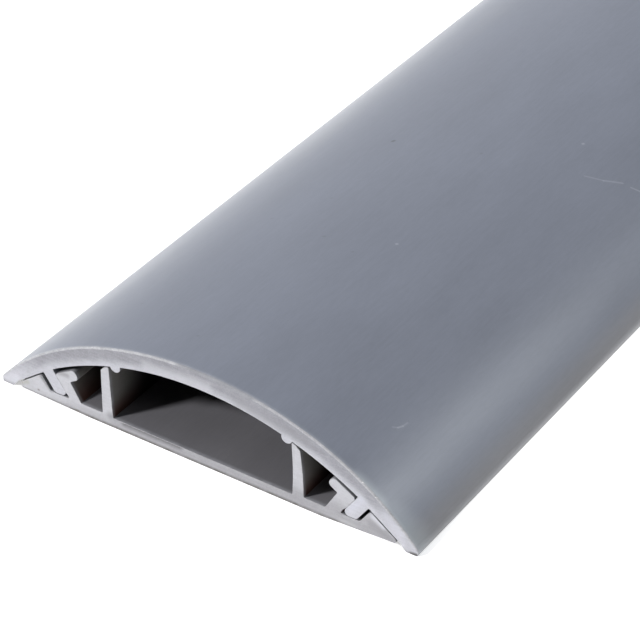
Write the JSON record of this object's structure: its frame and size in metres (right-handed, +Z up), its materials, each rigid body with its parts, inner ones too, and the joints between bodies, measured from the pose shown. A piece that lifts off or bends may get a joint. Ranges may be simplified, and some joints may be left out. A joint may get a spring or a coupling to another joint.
{
  "type": "cable trunking",
  "caption": "Straight length of grey PVC floor cable trunking: a domed cover snapped over a flat base whose upright ribs part the inside into side-by-side cable compartments.",
  "frame": {"origin": "Middle of the length and width, on the floor that the feet of the cover and the base lie on", "axes": "+Y runs along the length, +X across the width, +Z up through the crown of the cover"},
  "size_m": [0.075, 1, 0.017],
  "materials": {
    "cover_pvc": "satin",
    "base_pvc": "satin"
  },
  "bodies": {
    "root": {"cover": "cover_pvc", "base": "base_pvc"}
  },
  "joints": []
}
